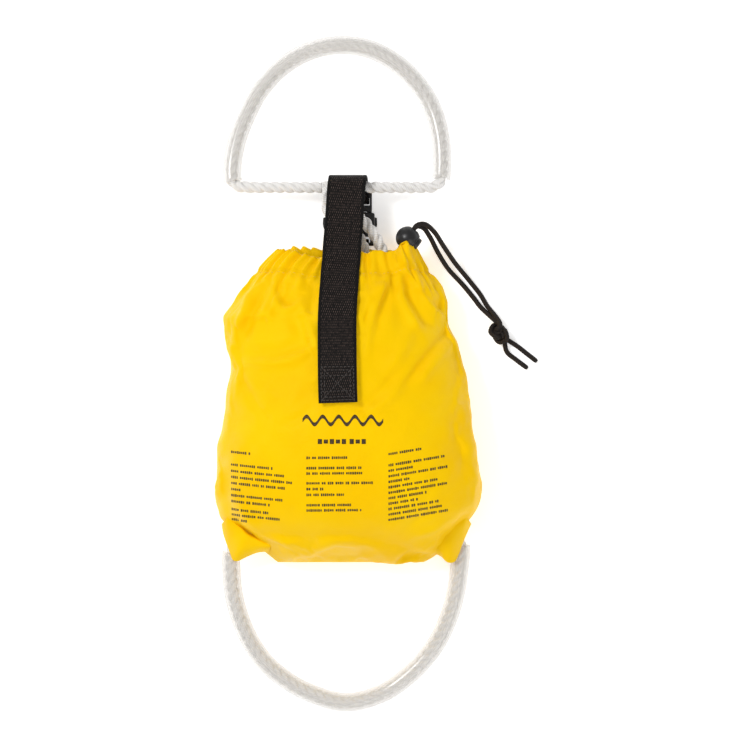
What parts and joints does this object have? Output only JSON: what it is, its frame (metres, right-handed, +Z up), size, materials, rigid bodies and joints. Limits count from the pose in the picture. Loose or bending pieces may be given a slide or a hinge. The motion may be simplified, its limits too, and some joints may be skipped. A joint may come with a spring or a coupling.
{
  "type": "throw rope bag",
  "caption": "Drawstring throw bag of coated nylon with a stuffed floating line, hose covered rope handles at both ends, and a webbing strap with a side release buckle.",
  "frame": {"origin": "centre of the object's box, without the free drawstring ends, at the level of the surface that the bag's back lies on", "axes": "+Y from the lower handle through the bag to the upper handle; +Z up, out of the bag's front; +X to the bag's right as seen from the front"},
  "size_m": [0.2191, 0.4522, 0.0792],
  "materials": {
    "yellow_nylon": "coated, satin",
    "white_rope": "three strand polypropylene",
    "clear_hose": "clear vinyl",
    "dark_braid": "round braid",
    "black_webbing": "ribbed nylon webbing",
    "black_acetal": "moulded, satin",
    "spring_steel": "drawn wire"
  },
  "bodies": {
    "bag": {"bag_front_panel": "yellow_nylon", "bag_back_panel": "yellow_nylon", "mouth_casing": "yellow_nylon", "drawstring_loop": "dark_braid", "drawstring_strand_a": "dark_braid", "drawstring_strand_b": "dark_braid", "drawstring_knot": "dark_braid", "drawstring_tail_a": "dark_braid", "drawstring_tail_b": "dark_braid", "front_strap": "black_webbing", "rear_strap": "black_webbing", "buckle_socket": "black_acetal", "upper_handle_knot": "white_rope", "upper_knot_tail": "white_rope", "throw_line_neck": "white_rope", "throw_line_bundle": "white_rope", "lower_stopper_left": "white_rope", "lower_stopper_right": "white_rope"},
    "upper_handle": {"upper_handle_tube": "clear_hose", "upper_handle_rope": "white_rope"},
    "lower_handle": {"lower_handle_tube": "clear_hose", "lower_handle_rope": "white_rope"},
    "buckle_plug_body": {"buckle_plug": "black_acetal"},
    "arm_left": {"buckle_arm_left": "black_acetal"},
    "arm_right": {"buckle_arm_right": "black_acetal"},
    "cord_lock": {"cord_lock_barrel": "black_acetal", "cord_lock_spring": "spring_steel"},
    "lock_plunger": {"cord_lock_plunger": "black_acetal"}
  },
  "joints": [
    {"name": "upper_handle_swing", "type": "hinge", "parent": "bag", "child": "upper_handle", "pos_m": [0, 0.124, 0.019], "axis": [1, 0, 0], "range_deg": [0, 135]},
    {"name": "lower_handle_swing", "type": "hinge", "parent": "bag", "child": "lower_handle", "pos_m": [-0.078, -0.113, 0.0115], "axis": [-0.9995, -0.0327, 0], "range_deg": [0, 80]},
    {"name": "buckle_release", "type": "slide", "parent": "bag", "child": "buckle_plug_body", "axis": [0, 1, 0], "range_m": [0, 0.018], "deforming": ["front_strap", "buckle_arm_left", "buckle_arm_right"]},
    {"name": "arm_left_squeeze", "type": "hinge", "parent": "buckle_plug_body", "child": "arm_left", "pos_m": [-0.0084, 0.1072, 0.006], "axis": [0, 0, 1], "range_deg": [0, 10], "stiffness_Nm_per_rad": 0.3},
    {"name": "arm_right_squeeze", "type": "hinge", "parent": "buckle_plug_body", "child": "arm_right", "pos_m": [0.0104, 0.1072, 0.006], "axis": [0, 0, -1], "range_deg": [0, 10], "stiffness_Nm_per_rad": 0.3},
    {"name": "cord_lock_slide", "type": "slide", "parent": "bag", "child": "cord_lock", "axis": [0.6, 0.8, 0], "range_m": [0, 0.007], "deforming": ["drawstring_strand_a", "drawstring_strand_b", "drawstring_loop"]},
    {"name": "cord_lock_press", "type": "slide", "parent": "cord_lock", "child": "lock_plunger", "axis": [-0.8, 0.6, 0], "range_m": [0, 0.002], "stiffness_N_per_m": 300, "springref_m": -0.001, "deforming": ["cord_lock_spring"]}
  ],
  "couplings": [
    {"joint": "arm_right_squeeze", "follows": "arm_left_squeeze", "ratio": 1}
  ]
}
